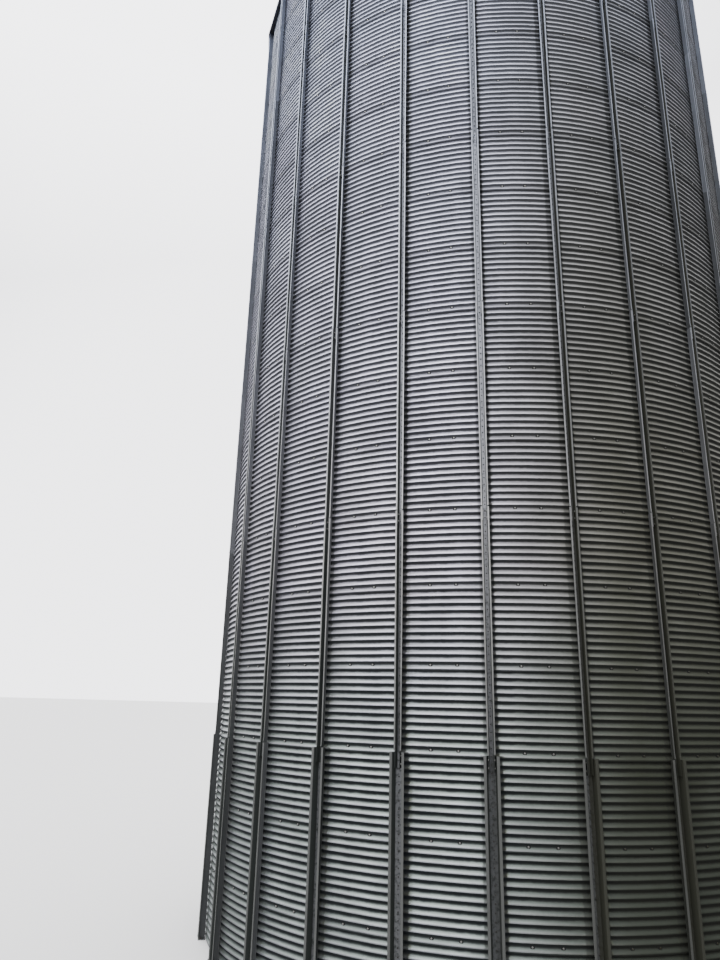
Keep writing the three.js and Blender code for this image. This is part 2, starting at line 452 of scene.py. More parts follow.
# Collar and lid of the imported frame
COLLAR_LOW, COLLAR_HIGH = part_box("roof_collar")
COLLAR_RADIUS = COLLAR_HIGH.y
CAP_LOW, CAP_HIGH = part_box("roof_cap")
CAP_RADIUS = CAP_HIGH.y


def roof_sheet(first_bay):
    """The flat sheets of one sector, one to a bay, with a drip edge turned down at the straight eaves."""
    hole = (COLLAR_RADIUS + CLEARANCE) / math.cos(BAY_ANGLE / 2)
    eave_top = roof_top(EAVE_RADIUS)
    drip_foot = eave_top - ROOF_SHEET / math.cos(ROOF_SLOPE) - DRIP_EDGE
    bend_start = EAVE_RADIUS - EAVE_BEND
    outer = [(hole, roof_top(hole)), (bend_start, roof_top(bend_start)),
             (EAVE_RADIUS - NOSE_BACK, eave_top - NOSE_DOWN),
             (EAVE_RADIUS, eave_top - EAVE_BEND), (EAVE_RADIUS, drip_foot)]
    # The inner face lies below the slope and behind the drip edge
    inner = [(r - (SHEET if i > 1 else 0), z - (SHEET if i <= 2 else 0)) for i, (r, z) in enumerate(outer)]
    outline = outer + inner[::-1]
    size = len(outline)
    caps = [(i, i + 1, size - 2 - i, size - 1 - i) for i in range(len(outer) - 1)]
    gap = CLEARANCE / 2 / WALL_OUTSIDE
    angles = np.linspace(gap, BAYS_PER_SECTOR * BAY_ANGLE - gap, BAYS_PER_SECTOR + 1) + first_bay * BAY_ANGLE
    return lofted([[polar(r, angle, z) for r, z in outline] for angle in angles], caps)


def on_roof(angle, across, above, radius):
    """A point above the roof, at a distance across the line that runs up the slope at an angle."""
    up = np.array([0, 0, math.cos(ROOF_SLOPE)]) + polar(math.sin(ROOF_SLOPE), angle, 0)
    sideways = polar(1, angle + math.pi / 2, 0)
    return polar(radius, angle, roof_top(radius)) + sideways * across + up * above


def roof_rib(bay):
    """A folded rib cap over the joint between two roof sheets."""
    half, half_top, height = RIB["width"] / 2, RIB["top"] / 2, RIB["height"]
    flange = RIB["flange"]
    corners = [(-half - flange, SHEET), (-half, SHEET), (-half_top, height - SHEET / 2),
               (half_top, height - SHEET / 2), (half, SHEET), (half + flange, SHEET)]
    outline, caps = folded_strip(corners, SHEET, BEND_RADIUS)
    inner, outer = COLLAR_RADIUS + RIB["short"], EAVE_RADIUS - RIB["short"]
    angle = bay * BAY_ANGLE
    narrow = [(x * RIB_NARROWED, y) for x, y in outline]
    stations = [(narrow, inner), (outline, inner + RIB_TAPER), (outline, outer)]
    outlines = [[on_roof(angle, x, y, radius) for x, y in shape] for shape, radius in stations]
    plug_corners = [(-half, SHEET), (-half_top, height - SHEET), (half_top, height - SHEET), (half, SHEET)]
    plug_ends = outer - PLUG_BACK, outer - PLUG_FRONT
    plug = [[on_roof(angle, x, y, radius) for x, y in plug_corners] for radius in plug_ends]
    return [lofted(outlines, caps), lofted(plug, [(0, 1, 2, 3)])]


def rib_bolt_places(bay):
    angle = bay * BAY_ANGLE
    up = on_roof(angle, 0, 1, 1) - on_roof(angle, 0, 0, 1)
    across = RIB["width"] / 2 + RIB["flange"] / 2
    places = []
    radius = EAVE_RADIUS - 2 * RIB["short"]
    while radius > COLLAR_RADIUS + RIB_BOLTS_END:
        places += [(on_roof(angle, side * across, 1.5 * SHEET, radius), up) for side in (-1, 1)]
        radius -= RIB_BOLT_PITCH * math.cos(ROOF_SLOPE)
    return places


def turned(profile, facets):
    """A closed profile of (radius, height) turned about the Z axis."""
    angles = [2 * math.pi * i / facets for i in range(facets)]
    return lofted([[polar(r, angle, z) for r, z in profile] for angle in angles], ring=True)


def build_roof(roof_steel, bolt_steel):
    roof_bolt = joined([disc(*ROOF_BOLT, sides=HEXAGON), disc(*ROOF_WASHER, sides=8)])
    for i, node in enumerate(SECTORS):
        bays = range(i * BAYS_PER_SECTOR, (i + 1) * BAYS_PER_SECTOR)
        steel = [roof_sheet(bays[0])]
        bolts = []
        for bay in bays:
            steel += roof_rib(bay)
            bolts += scattered(roof_bolt, rib_bolt_places(bay))
        add_piece(f"roof_sheets_{i + 1}", [steel, bolts], [roof_steel, bolt_steel], [node],
                  ROOF_SHARP_ANGLE)


def build_collar_and_lid(roof_steel):
    outer, inner = COLLAR_RADIUS, COLLAR_RADIUS - COLLAR_SHEET
    foot, head = COLLAR_LOW.z, COLLAR_HIGH.z
    apron = outer + APRON["reach"]
    underside = roof_top(apron) + APRON["lift"]
    collar = [(inner, foot), (outer, foot), (outer, roof_top(outer)), (apron, underside),
              (apron, underside + SHEET), (outer + SHEET, roof_top(outer) + 2 * SHEET),
              (outer, roof_top(outer) + APRON["upstand"]), (outer, head - COLLAR_EDGE),
              (outer - COLLAR_EDGE, head), (inner, head)]
    add_piece("neck_ring", [[turned(collar, ROUND_FACETS)]], [roof_steel], ["roof_collar"])

    rim, low, high = CAP_RADIUS, CAP_LOW.z, CAP_HIGH.z
    seat = head + CLEARANCE
    midway, midway_height = rim * LID_MIDWAY[0], seat + (high - seat) * LID_MIDWAY[1]
    lid = [(AXIS_HOLE, high), (midway, midway_height)]
    lid += [(rim - back, seat + up) for back, up in LID_SHOULDER]
    lid += [(rim - back, low + up) for back, up in LID_SKIRT]
    lid += [(rim - LID_INSIDE[0], seat + LID_INSIDE[1])]
    lid += [(midway, midway_height - LID_SHEET), (AXIS_HOLE, high - LID_SHEET)]
    add_piece("roof_lid", [[turned(lid, ROUND_FACETS)]], [roof_steel], ["roof_cap"])


def build_floor(concrete):
    """A slab inside the foot of the wall, with a small chamfer at its upper edge."""
    radius = MEAN_RADIUS - WAVE_DEPTH / 2 - SHEET - CLEARANCE
    low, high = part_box("floor")[0].z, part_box("floor")[1].z
    profile = [(AXIS_HOLE, low), (radius, low), (radius, high - FLOOR_CHAMFER),
               (radius - FLOOR_CHAMFER, high), (AXIS_HOLE, high)]
    facets = BAYS * COLUMNS_PER_BAY
    add_piece("floor_slab", [[turned(profile, facets)]], [concrete], ["floor"])


# Materials

def colour(hex_code):
    """sRGB hex to linear RGBA."""
    channels = [int(hex_code[i:i + 2], 16) / 255 for i in (0, 2, 4)]
    linear = [c / 12.92 if c <= 0.04045 else ((c + 0.055) / 1.055) ** 2.4 for c in channels]
    return (*linear, 1.0)


def per_metre(size_mm):
    """Noise scale for features of a real size."""
    return 1000 / size_mm


def set_inputs(tree, node, inputs):
    """Sets inputs of a node, by name or in their order, and links those that come from another node."""
    pairs = inputs.items() if isinstance(inputs, dict) else enumerate(inputs)
    for name, value in pairs:
        if isinstance(value, bpy.types.NodeSocket):
            tree.links.new(value, node.inputs[name])
        else:
            node.inputs[name].default_value = value


def add(tree, kind, inputs=(), output=0, **settings):
    """Adds a node with its settings and links, and returns one of its outputs."""
    node = tree.nodes.new(kind)
    for name, value in settings.items():
        setattr(node, name, value)
    set_inputs(tree, node, inputs)
    return node.outputs[output]


def between(value, low, high, from_low=0.0, from_high=1.0):
    """Inputs of a Map Range node that takes a value from one range to another."""
    return {"Value": value, "From Min": from_low, "From Max": from_high, "To Min": low, "To Max": high}


def by_height(at, low, high, heights):
    """The same for the height of a point. heights are two shares of the wall's height."""
    return between(at.height, low, high, heights[0] * WALL_HEIGHT, heights[1] * WALL_HEIGHT)


def new_material(name):
    material = bpy.data.materials.new(name)
    material.use_nodes = True
    tree = material.node_tree
    return material, tree, tree.nodes["Principled BSDF"]


BELOW_CREST = 0.05  # of a wave, where the dirt and painted shade start


def silo_position(tree):
    """Where a point of the silo lies: its turn in bays from the front, the nearest stiffener, how many bays
    beside that it is, its height and radius, and its climb. That goes from 0 just below one crest of the
    wall to 1 just below the next."""
    place = add(tree, "ShaderNodeTexCoord", output="Object")
    x, y, height = add(tree, "ShaderNodeSeparateXYZ", [place]).node.outputs
    front = add(tree, "ShaderNodeMath", [y, -1], operation="MULTIPLY")
    angle = add(tree, "ShaderNodeMath", [x, front], operation="ARCTAN2")
    turn = add(tree, "ShaderNodeMath", [angle, BAY_ANGLE], operation="DIVIDE")
    nearest = add(tree, "ShaderNodeMath", [turn], operation="ROUND")
    beside = add(tree, "ShaderNodeMath", [turn, nearest], operation="SUBTRACT")
    level = add(tree, "ShaderNodeVectorMath", [place, (1, 1, 0)], operation="MULTIPLY")
    radius = add(tree, "ShaderNodeVectorMath", [level], output="Value", operation="LENGTH")
    waves = add(tree, "ShaderNodeMath", [height, 1 / WAVE_PITCH, 0.5 + BELOW_CREST],
                operation="MULTIPLY_ADD")
    climb = add(tree, "ShaderNodeMath", [waves], operation="FRACT")
    return SimpleNamespace(place=place, turn=turn, nearest=nearest, beside=beside, height=height,
                           radius=radius, climb=climb)


# Where the film and its painted shade lie, in bays from the front, and their share at the foot and the top of
# the wall
FILM_STARTS, FILM_FULL, FILM_FADES, FILM_ENDS = -0.5, 1.75, 5.5, 9.5
FILM_AT_FOOT, FILM_AT_TOP = 1.0, 0.24
FILM_HEIGHTS = 0.15, 0.9


def damp_film_and_shade(tree, at):
    """Share of the olive film on the damp side, at the right as seen from the front, which also stands in as
    painted shade where the light is weaker. It thins out upwards and round the back."""
    patches = add(tree, "ShaderNodeTexNoise", {"Vector": at.place, "Scale": per_metre(700), "Detail": 4})
    start = add(tree, "ShaderNodeMapRange", between(at.turn, 0, 1, FILM_STARTS, FILM_FULL),
                interpolation_type="SMOOTHSTEP")
    end = add(tree, "ShaderNodeMapRange", between(at.turn, 1, 0, FILM_FADES, FILM_ENDS),
              interpolation_type="SMOOTHSTEP")
    upwards = add(tree, "ShaderNodeMapRange", by_height(at, FILM_AT_FOOT, FILM_AT_TOP, FILM_HEIGHTS))
    uneven = add(tree, "ShaderNodeMapRange", between(patches, 0.94, 1.03, 0.3, 0.7))
    film_and_shade = add(tree, "ShaderNodeMath", [start, end], operation="MULTIPLY")
    film_and_shade = add(tree, "ShaderNodeMath", [film_and_shade, upwards], operation="MULTIPLY")
    return add(tree, "ShaderNodeMath", [film_and_shade, uneven], operation="MULTIPLY", use_clamp=True)


# Marks of the seams on the wall: how far below a seam they lie, and their half height, full and faded out
BAND_BELOW_SEAM, BAND_FULL, BAND_ENDS = 12 * MM, 34 * MM, 42 * MM
RIM_BELOW_SEAM, RIM_CLEAN, RIM_ENDS = 47 * MM, 9 * MM, 12 * MM

# Heights between which the wall changes, as shares of its height
BAND_HEIGHTS = 0.2, 0.8
SKY_REFLECTION_HEIGHTS = 0.3, 1.0
GREENISH_HEIGHTS = 0.17, 0.29
SPLASH_AND_SHADE_HEIGHTS = 0.08, 0.34
DIRT_HEIGHTS = 0.15, 1.0

# Growth, grime and a painted shadow of the lips beside the stiffeners, in bays: from the edge of a lip, and
# from the front of the silo
GROWTH_FULL, GROWTH_ENDS = 0.02, 0.08
GRIME_AND_SHADOW_ENDS = 0.018
DAMP_FROM, DAMP_FULL = -2.6, -1.2
EXTRA_REACH = 0.022


def weathered_galvanised_sheet():
    """Hot-dip galvanised corrugated sheet gone dull: pale lavender grey, with a painted highlight where it
    faces the sky and bluer higher up as a painted sky reflection. Dark dirt and painted shade lie in the
    shelter under each crest, with green growth, grime and a painted shadow of the lips beside the stiffeners,
    and an olive film that is partly painted shade on the damp side."""
    material, tree, shader = new_material("weathered_galvanised_sheet")
    at = silo_position(tree)

    fine = add(tree, "ShaderNodeTexNoise", {"Vector": at.place, "Scale": per_metre(45), "Detail": 4})
    patches = add(tree, "ShaderNodeTexNoise", {"Vector": at.place, "Scale": per_metre(900), "Detail": 3})
    clouds = add(tree, "ShaderNodeTexNoise", {"Vector": at.place, "Scale": per_metre(450), "Detail": 2})
    tall = add(tree, "ShaderNodeVectorMath", [at.place, (1, 1, 0.06)], operation="MULTIPLY")
    runs = add(tree, "ShaderNodeTexNoise", {"Vector": tall, "Scale": per_metre(150), "Detail": 3})
    spangle = add(tree, "ShaderNodeTexVoronoi", {"Vector": at.place, "Scale": per_metre(14)}, output="Color")

    # Each sheet has a tone of its own
    column = add(tree, "ShaderNodeMath", [at.turn, BAYS_PER_PANEL], operation="DIVIDE")
    row = add(tree, "ShaderNodeMath", [at.height, RING_HEIGHT], operation="DIVIDE")
    cell = add(tree, "ShaderNodeCombineXYZ", [column, row])
    cell = add(tree, "ShaderNodeVectorMath", [cell], operation="FLOOR")
    chance = add(tree, "ShaderNodeTexWhiteNoise", {"Vector": cell})
    sheet_tone = add(tree, "ShaderNodeMapRange", between(chance, 0.9, 1.06))

    # Marks of the seams: a grey band in the valley with the bolts, stronger higher up, and a cleaner strip
    # along the lower edge of the upper sheet
    from_seam = add(tree, "ShaderNodeMath", [at.height, RING_HEIGHT / 2, -RING_HEIGHT / 2], operation="WRAP")
    off_band = add(tree, "ShaderNodeMath", [from_seam, BAND_BELOW_SEAM], operation="ADD")
    off_band = add(tree, "ShaderNodeMath", [off_band], operation="ABSOLUTE")
    in_band = add(tree, "ShaderNodeMapRange", between(off_band, 1, 0, BAND_FULL, BAND_ENDS))
    band_strength = add(tree, "ShaderNodeMapRange", by_height(at, 0.15, 0.5, BAND_HEIGHTS))
    in_band = add(tree, "ShaderNodeMath", [in_band, band_strength], operation="MULTIPLY")
    band = add(tree, "ShaderNodeMapRange", between(in_band, 1, 0))
    less_dirt = add(tree, "ShaderNodeMapRange", between(in_band, 1, 0.5))
    off_rim = add(tree, "ShaderNodeMath", [from_seam, RIM_BELOW_SEAM], operation="ADD")
    off_rim = add(tree, "ShaderNodeMath", [off_rim], operation="ABSOLUTE")
    clean_rim = add(tree, "ShaderNodeMapRange", between(off_rim, 0.85, 1, RIM_CLEAN, RIM_ENDS))

    # Clean zinc: bluer higher up as a painted reflection of the sky, greenish low down where it faces the
    # sky, and warmer through the film and its painted shade
    film_and_shade = damp_film_and_shade(tree, at)
    upwards = add(tree, "ShaderNodeMapRange", by_height(at, 0, 1, SKY_REFLECTION_HEIGHTS))
    zinc = add(tree, "ShaderNodeMixRGB", [upwards, colour("d0cbd6"), colour("d8e2ff")])
    lavender = add(tree, "ShaderNodeMapRange", between(patches, 0, 0.5, 0.45, 0.65))
    zinc = add(tree, "ShaderNodeMixRGB", [lavender, zinc, colour("c4c0d6")])
    zinc = add(tree, "ShaderNodeMixRGB", [film_and_shade, zinc, colour("cccbbb")])
    facing_up = add(tree, "ShaderNodeMapRange", between(at.climb, 0.4, 1, 0.05, 0.3))
    near_foot = add(tree, "ShaderNodeMapRange", by_height(at, 0.9, 0.1, GREENISH_HEIGHTS))
    greenish = add(tree, "ShaderNodeMath", [facing_up, near_foot], operation="MULTIPLY")
    zinc = add(tree, "ShaderNodeMixRGB", [greenish, zinc, colour("a9b5ab")])

    # Its brightness: by sheet, in clouds, by spangle, in runs, by seam, and a painted highlight just above
    # each crest that fades to painted shade towards the valley above it
    cloud = add(tree, "ShaderNodeMapRange", between(clouds, 0.8, 1.1, 0.35, 0.65))
    speckle = add(tree, "ShaderNodeMapRange", between(spangle, 0.93, 1.07))
    streak = add(tree, "ShaderNodeMapRange", between(runs, 0.92, 1.05, 0.3, 0.7))
    crest_highlight_and_shade = add(tree, "ShaderNodeMapRange", between(at.climb, 1.3, 0.66, 0.06, 0.36))
    tone = sheet_tone
    for share in (cloud, speckle, streak, band, crest_highlight_and_shade):
        tone = add(tree, "ShaderNodeMath", [tone, share], operation="MULTIPLY")
    zinc = add(tree, "ShaderNodeVectorMath", {"Vector": zinc, "Scale": tone}, operation="SCALE")

    # Olive film on the damp side, partly painted shade
    skin = add(tree, "ShaderNodeMixRGB", [film_and_shade, zinc, colour("2a2a13")])

    # Splashed dirt and painted shade near the foot
    splash_and_shade = add(tree, "ShaderNodeMapRange", by_height(at, 0.38, 0, SPLASH_AND_SHADE_HEIGHTS))
    skin = add(tree, "ShaderNodeMixRGB", [splash_and_shade, skin, colour("2e3a3a")])

    # Growth past the edge of the stiffeners' lips, mostly on the damp hand of each and on the damp side
    above_heavy = add(tree, "ShaderNodeMath", [at.height, HEAVY_HEAD], operation="GREATER_THAN")
    lip_edge = add(tree, "ShaderNodeMapRange", between(
        above_heavy, HEAVY["width"] / 2 / BAY_ARC, STANDARD["width"] / 2 / BAY_ARC))
    aside = add(tree, "ShaderNodeMath", [at.beside], operation="ABSOLUTE")
    past_lip = add(tree, "ShaderNodeMath", [aside, lip_edge], operation="SUBTRACT")
    damp_hand = add(tree, "ShaderNodeMapRange", between(at.beside, 0.2, 1, -0.01, 0.01))
    damp_side = add(tree, "ShaderNodeMapRange", between(at.turn, 0.2, 1, DAMP_FROM, DAMP_FULL))
    damp_hand = add(tree, "ShaderNodeMath", [damp_hand, damp_side], operation="MULTIPLY")
    tufts = add(tree, "ShaderNodeMapRange", between(fine, 0, 0.75, 0.42, 0.62))
    closeness = add(tree, "ShaderNodeMapRange", between(past_lip, 1, 0, GROWTH_FULL, GROWTH_ENDS),
                    interpolation_type="SMOOTHSTEP")
    closeness = add(tree, "ShaderNodeMath", [closeness, damp_hand], operation="MULTIPLY")
    green = add(tree, "ShaderNodeMath", [closeness, tufts], operation="MULTIPLY")
    skin = add(tree, "ShaderNodeMixRGB", [green, skin, colour("61654a")])

    # Grime and a painted shadow of the lip in a ragged strip at the same edge, which reaches further from it
    # towards the damp side
    reach = add(tree, "ShaderNodeMapRange", between(at.turn, 0, -EXTRA_REACH, -1, 1))
    grime_and_shadow_edge = add(tree, "ShaderNodeMath", [fine, -0.03, past_lip], operation="MULTIPLY_ADD")
    grime_and_shadow_edge = add(tree, "ShaderNodeMath", [grime_and_shadow_edge, reach], operation="ADD")
    grime_and_shadow = add(tree, "ShaderNodeMapRange", between(grime_and_shadow_edge, 0.85, 0, 0, GRIME_AND_SHADOW_ENDS))
    gather = add(tree, "ShaderNodeMapRange", between(damp_hand, 0.4, 1))
    grime_and_shadow = add(tree, "ShaderNodeMath", [grime_and_shadow, gather], operation="MULTIPLY")
    skin = add(tree, "ShaderNodeMixRGB", [grime_and_shadow, skin, colour("1b1b17")])

    # Dirt and painted shade in the shelter under each crest, deeper beside the stiffeners and thinner higher
    # up
    wavering = add(tree, "ShaderNodeMapRange", between(runs, -0.08, 0.08, 0.3, 0.7))
    ragged = add(tree, "ShaderNodeMath", [fine, 0.14, at.climb], operation="MULTIPLY_ADD")
    ragged = add(tree, "ShaderNodeMath", [ragged, wavering], operation="ADD")
    ragged = add(tree, "ShaderNodeMath", [closeness, 0.07, ragged], operation="MULTIPLY_ADD")
    dirt_and_shade = add(tree, "ShaderNodeMapRange", between(ragged, 0, 1, 0.42, 0.80),
               interpolation_type="SMOOTHSTEP")
    thick = add(tree, "ShaderNodeMapRange", by_height(at, 1, 0.5, DIRT_HEIGHTS))
    for share in (thick, clean_rim, less_dirt):
        dirt_and_shade = add(tree, "ShaderNodeMath", [dirt_and_shade, share], operation="MULTIPLY")
    dirt_and_shade_colour = add(tree, "ShaderNodeMixRGB", [film_and_shade, colour("1f2427"), colour("20211a")])
    skin = add(tree, "ShaderNodeMixRGB", [dirt_and_shade, skin, dirt_and_shade_colour])

    cover = dirt_and_shade
    for other in (film_and_shade, green, grime_and_shadow):
        cover = add(tree, "ShaderNodeMath", [cover, other], operation="MAXIMUM")
    metal = add(tree, "ShaderNodeMapRange", between(cover, 0.85, 0.1))
    rough = add(tree, "ShaderNodeMapRange", between(cover, 0.46, 0.85))
    set_inputs(tree, shader, {"Base Color": skin, "Metallic": metal, "Roughness": rough})
    return material


TONE_SEED = 1818  # picks the chance tones of the channel lengths
WEB_FACE, SIDE_START = 9 * MM, 13 * MM  # from the wall: the web within the first, the sides past the second
LIP_STEP = 1.5 * MM
CHANNEL_SPLASH_AND_SHADE_HEIGHTS = 0.15, 0.34


def dull_galvanised_channel():
    """Folded galvanised steel: light lips, dark sides with dirt and painted shade, and a duller mottled web,
    bluer higher up as a painted sky reflection. Darker towards the foot, with splashed dirt and painted
    shade."""
    material, tree, shader = new_material("dull_galvanised_channel")
    at = silo_position(tree)
    fine = add(tree, "ShaderNodeTexNoise", {"Vector": at.place, "Scale": per_metre(35), "Detail": 4})
    tall = add(tree, "ShaderNodeVectorMath", [at.place, (1, 1, 0.15)], operation="MULTIPLY")
    runs = add(tree, "ShaderNodeTexNoise", {"Vector": tall, "Scale": per_metre(60), "Detail": 3})

    # Lips, web and sides are told apart by their distance from the wall
    away = add(tree, "ShaderNodeMath", [at.radius, CHANNEL_SEAT], operation="SUBTRACT")
    lip_start = add(tree, "ShaderNodeMapRange", between(
        at.height, HEAVY["depth"] - 1.5 * HEAVY["sheet"], STANDARD["depth"] - 1.5 * STANDARD["sheet"],
        HEAVY_HEAD, HEAVY_HEAD + LIP_GAP))
    past_lip = add(tree, "ShaderNodeMath", [away, lip_start], operation="SUBTRACT")
    lips = add(tree, "ShaderNodeMapRange", between(past_lip, 0, 1, 0, LIP_STEP))
    web = add(tree, "ShaderNodeMapRange", between(away, 1, 0, WEB_FACE, SIDE_START))
    side = add(tree, "ShaderNodeMath", [lips, web], operation="ADD")
    side = add(tree, "ShaderNodeMapRange", between(side, 1, 0))

    # Each length of channel has its own tone on the web and on the lips. The wide one ends below its seam.
    lowest = add(tree, "ShaderNodeMath", [at.height, 1.5 * CHANNEL_RISE], operation="LESS_THAN")
    reach = add(tree, "ShaderNodeMath", [lowest, HEAVY_HEAD_BELOW_SEAM, at.height], operation="MULTIPLY_ADD")
    length = add(tree, "ShaderNodeMath", [reach, CHANNEL_RISE], operation="DIVIDE")
    cell = add(tree, "ShaderNodeCombineXYZ", [at.nearest, length, TONE_SEED])
    cell = add(tree, "ShaderNodeVectorMath", [cell], operation="FLOOR")
    chance = add(tree, "ShaderNodeTexWhiteNoise", {"Vector": cell}, output="Color")
    web_chance, lip_chance, _ = add(tree, "ShaderNodeSeparateXYZ", [chance]).node.outputs
    web_tone = add(tree, "ShaderNodeMapRange", between(web_chance, 0.5, 1.2))
    lip_tone = add(tree, "ShaderNodeMapRange", between(lip_chance, 0.85, 1.15))

    streak = add(tree, "ShaderNodeMapRange", between(runs, 0.85, 1.1, 0.3, 0.7))
    # Bluer higher up, a painted reflection of the sky
    upwards = add(tree, "ShaderNodeMapRange", by_height(at, 0, 1, SKY_REFLECTION_HEIGHTS))
    lip_zinc = add(tree, "ShaderNodeMixRGB", [upwards, colour("b3b3b0"), colour("a9b4cb")])
    web_zinc = add(tree, "ShaderNodeMixRGB", [upwards, colour("a8a9ac"), colour("9da6b8")])
    web_zinc = add(tree, "ShaderNodeVectorMath", {"Vector": web_zinc, "Scale": web_tone}, operation="SCALE")
    lip_zinc = add(tree, "ShaderNodeVectorMath", {"Vector": lip_zinc, "Scale": lip_tone}, operation="SCALE")
    zinc = add(tree, "ShaderNodeMixRGB", [lips, web_zinc, lip_zinc])
    zinc = add(tree, "ShaderNodeVectorMath", {"Vector": zinc, "Scale": streak}, operation="SCALE")

    # Blots of dirt on the web, and dirt with painted shade on the sides, darker on the faces turned to the
    # web, into the channel's recess
    blots = add(tree, "ShaderNodeMapRange", between(fine, 0, 0.35, 0.48, 0.68))
    blots = add(tree, "ShaderNodeMath", [blots, web], operation="MULTIPLY")
    normal = add(tree, "ShaderNodeTexCoord", output="Normal")
    sideways = add(tree, "ShaderNodeVectorMath", [(0, 0, 1), at.place], operation="CROSS_PRODUCT")
    facing = add(tree, "ShaderNodeVectorMath", [normal, sideways], output="Value", operation="DOT_PRODUCT")
    facing = add(tree, "ShaderNodeMath", [facing, at.beside], operation="MULTIPLY")
    outer_face = add(tree, "ShaderNodeMath", [facing, 0], operation="GREATER_THAN")
    side_dirt_and_shade = add(tree, "ShaderNodeMapRange", between(outer_face, 0.88, 0.38))
    dirt_and_shade = add(tree, "ShaderNodeMath", [side, side_dirt_and_shade, blots], operation="MULTIPLY_ADD")

    # Splashed dirt and painted shade near the foot, less of it on the sides at the dry left
    low = add(tree, "ShaderNodeMapRange", by_height(at, 1, 0, CHANNEL_SPLASH_AND_SHADE_HEIGHTS))
    side_splash_and_shade = add(tree, "ShaderNodeMapRange", between(at.turn, 0.3, 0.6, -3, -2.2))
    splashed_and_shaded = add(tree, "ShaderNodeMapRange", between(lips, side_splash_and_shade, 0.78))
    dirt_and_shade = add(tree, "ShaderNodeMath", [low, splashed_and_shaded, dirt_and_shade], operation="MULTIPLY_ADD", use_clamp=True)
    skin = add(tree, "ShaderNodeMixRGB", [dirt_and_shade, zinc, colour("2a2f2c")])

    # Olive film with painted shade, more off the lips and on the damp hand of each channel, and never quite
    # closed
    film_and_shade = damp_film_and_shade(tree, at)
    hold = add(tree, "ShaderNodeMapRange", between(lips, 1.3, 1.0))
    damp_hand = add(tree, "ShaderNodeMapRange", between(at.beside, 0.5, 1.35, -0.005, 0.005))
    for share in (hold, damp_hand):
        film_and_shade = add(tree, "ShaderNodeMath", [film_and_shade, share], operation="MULTIPLY")
    film_and_shade = add(tree, "ShaderNodeMapRange", between(film_and_shade, 0, 0.9))
    skin = add(tree, "ShaderNodeMixRGB", [film_and_shade, skin, colour("2b2c20")])

    cover = add(tree, "ShaderNodeMath", [dirt_and_shade, film_and_shade], operation="MAXIMUM")
    metal = add(tree, "ShaderNodeMapRange", between(cover, 0.8, 0.1))
    rough = add(tree, "ShaderNodeMapRange", between(cover, 0.5, 0.85))
    set_inputs(tree, shader, {"Base Color": skin, "Metallic": metal, "Roughness": rough})
    return material


def zinc_plated_bolt():
    """Zinc-plated hexagon heads, brighter than the steel round them, but dirty and in painted shade on the
    damp side.
    """
    material, tree, shader = new_material("zinc_plated_bolt")
    film_and_shade = damp_film_and_shade(tree, silo_position(tree))
    skin = add(tree, "ShaderNodeMixRGB", [film_and_shade, colour("a6a6a2"), colour("2a2916")])
    metal = add(tree, "ShaderNodeMapRange", between(film_and_shade, 0.7, 0.1))
    set_inputs(tree, shader, {"Base Color": skin, "Metallic": metal, "Roughness": 0.45})
    return material


def tarnished_bolt():
    """Steel bolts on the channels, tarnished dark brown grey."""
    material, tree, shader = new_material("tarnished_bolt")
    set_inputs(tree, shader, {"Base Color": colour("403e3a"), "Metallic": 0.5, "Roughness": 0.6})
    return material


def black_rubber_washer():
    """Rubber sealing washers, dull black, which ring each seam bolt."""
    material, tree, shader = new_material("black_rubber_washer")
    set_inputs(tree, shader, {"Base Color": colour("0e0e0e"), "Roughness": 0.8})
    return material


MOSS_WIDTH = 0.8  # metres in from the eave


def galvanised_roof_sheet():
    """Flat galvanised roof sheet: satin pale grey with soft clouds, a tone for each sheet and moss at the
    eave."""
    material, tree, shader = new_material("galvanised_roof_sheet")
    at = silo_position(tree)
    patches = add(tree, "ShaderNodeTexNoise", {"Vector": at.place, "Scale": per_metre(500), "Detail": 4})
    fine = add(tree, "ShaderNodeTexNoise", {"Vector": at.place, "Scale": per_metre(60), "Detail": 4})
    cell = add(tree, "ShaderNodeMath", [at.turn], operation="FLOOR")
    chance = add(tree, "ShaderNodeTexWhiteNoise", {"W": cell}, noise_dimensions="1D")
    tone = add(tree, "ShaderNodeMapRange", between(chance, 0.88, 1.06))
    cloud = add(tree, "ShaderNodeMapRange", between(patches, 0.8, 1.1, 0.3, 0.7))
    tone = add(tree, "ShaderNodeMath", [tone, cloud], operation="MULTIPLY")
    clean = colour("b5b8bd")[:3]
    zinc = add(tree, "ShaderNodeVectorMath", {"Vector": clean, "Scale": tone}, operation="SCALE")
    eave = add(tree, "ShaderNodeMapRange", between(at.radius, 0, 0.4, EAVE_RADIUS - MOSS_WIDTH, EAVE_RADIUS),
               interpolation_type="SMOOTHSTEP")
    tufts = add(tree, "ShaderNodeMapRange", between(fine, 0, 1, 0.45, 0.65))
    moss = add(tree, "ShaderNodeMath", [eave, tufts], operation="MULTIPLY")
    skin = add(tree, "ShaderNodeMixRGB", [moss, zinc, colour("4a4a35")])
    metal = add(tree, "ShaderNodeMapRange", between(moss, 0.85, 0.1))
    rough = add(tree, "ShaderNodeMapRange", between(moss, 0.45, 0.9))
    set_inputs(tree, shader, {"Base Color": skin, "Metallic": metal, "Roughness": rough})
    return material


